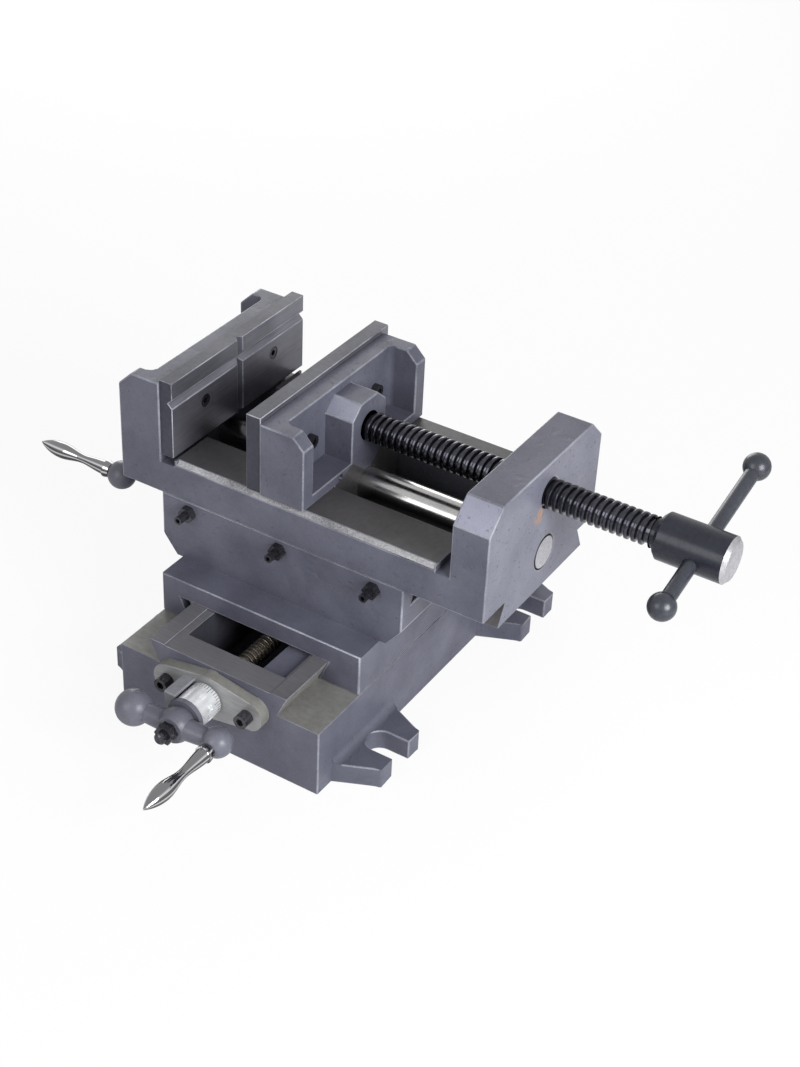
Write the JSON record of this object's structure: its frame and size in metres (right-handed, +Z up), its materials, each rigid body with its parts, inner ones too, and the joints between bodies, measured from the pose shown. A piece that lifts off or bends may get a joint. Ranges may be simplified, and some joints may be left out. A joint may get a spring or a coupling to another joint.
{
  "type": "cross slide drill press vise",
  "caption": "Cross slide vise: slotted base, saddle and wide-jaw vise body on dovetail ways, moved by two ball-crank feed screws with dials, and a jaw screw with a sliding bar handle.",
  "frame": {"origin": "middle of the underside of the base", "axes": "+X towards the jaw screw's handle bar, -Y towards the front crank, +Z up"},
  "size_m": [0.5251, 0.4076, 0.2171],
  "materials": {
    "casting_paint": "satin",
    "bracket_paint": "satin",
    "ground_steel": "ground",
    "polished_steel": "satin",
    "black_steel": "blackened",
    "chrome": "polished",
    "bronze": "machined"
  },
  "bodies": {
    "base": {"base": "casting_paint", "cross_bracket": "bracket_paint", "cross_bracket_screws": "black_steel"},
    "saddle": {"saddle": "casting_paint", "cross_gib": "ground_steel", "vise_gib": "ground_steel", "cross_gib_screws": "black_steel", "cross_gib_nuts": "black_steel", "vise_gib_screws": "black_steel", "vise_gib_nuts": "black_steel", "cross_nut": "bronze", "cross_nut_screws": "black_steel", "vise_nut": "bronze", "vise_nut_screws": "black_steel"},
    "vise_body": {"vise_body": "casting_paint", "fixed_jaw_plate": "ground_steel", "fixed_jaw_screws": "black_steel", "guide_bar": "polished_steel", "vise_bracket": "bracket_paint", "vise_bracket_screws": "black_steel"},
    "movable_jaw": {"movable_jaw": "casting_paint", "movable_jaw_plate": "ground_steel", "movable_jaw_screws": "black_steel", "jaw_screw_pin": "black_steel"},
    "jaw_screw": {"jaw_screw": "black_steel"},
    "handle_bar": {"handle_bar": "black_steel", "handle_balls": "black_steel"},
    "cross_screw": {"cross_feed_screw": "black_steel", "cross_dial": "polished_steel", "cross_crank": "casting_paint", "cross_handle_spindle": "black_steel", "cross_crank_nut": "black_steel"},
    "cross_handle": {"cross_handle": "chrome"},
    "vise_screw": {"vise_feed_screw": "black_steel", "vise_dial": "polished_steel", "vise_crank": "casting_paint", "vise_handle_spindle": "black_steel", "vise_crank_nut": "black_steel"},
    "vise_handle": {"vise_handle": "chrome"}
  },
  "joints": [
    {"name": "saddle_slide", "type": "slide", "parent": "base", "child": "saddle", "axis": [0, 1, 0], "range_m": [-0.045, 0.054]},
    {"name": "vise_slide", "type": "slide", "parent": "saddle", "child": "vise_body", "axis": [1, 0, 0], "range_m": [-0.058, 0.03]},
    {"name": "jaw_slide", "type": "slide", "parent": "vise_body", "child": "movable_jaw", "axis": [1, 0, 0], "range_m": [-0.0585, 0.095]},
    {"name": "jaw_screw_turn", "type": "hinge", "parent": "movable_jaw", "child": "jaw_screw", "pos_m": [0.1, -0.001, 0.187], "axis": [1, 0, 0], "range_deg": [-4230, 6860]},
    {"name": "handle_bar_slide", "type": "slide", "parent": "jaw_screw", "child": "handle_bar", "axis": [0, 0.9728, 0.2317], "range_m": [-0.053, 0.026]},
    {"name": "cross_screw_turn", "type": "hinge", "parent": "base", "child": "cross_screw", "pos_m": [-0.002, -0.16, 0.049], "axis": [0, 1, 0], "range_deg": [-4880, 4070]},
    {"name": "cross_handle_spin", "type": "hinge", "parent": "cross_screw", "child": "cross_handle", "pos_m": [0.0295, -0.2, 0.049], "axis": [0, 1, 0], "continuous": true},
    {"name": "vise_screw_turn", "type": "hinge", "parent": "vise_body", "child": "vise_screw", "pos_m": [-0.15, -0.001, 0.095], "axis": [1, 0, 0], "range_deg": [-5240, 2720]},
    {"name": "vise_handle_spin", "type": "hinge", "parent": "vise_screw", "child": "vise_handle", "pos_m": [-0.19, -0.03227, 0.09116], "axis": [1, 0, 0], "continuous": true}
  ],
  "couplings": [
    {"joint": "jaw_screw_turn", "follows": "jaw_slide", "rad_per_m": 1256.6},
    {"joint": "cross_screw_turn", "follows": "saddle_slide", "rad_per_m": -1570.8},
    {"joint": "vise_screw_turn", "follows": "vise_slide", "rad_per_m": 1570.8}
  ]
}
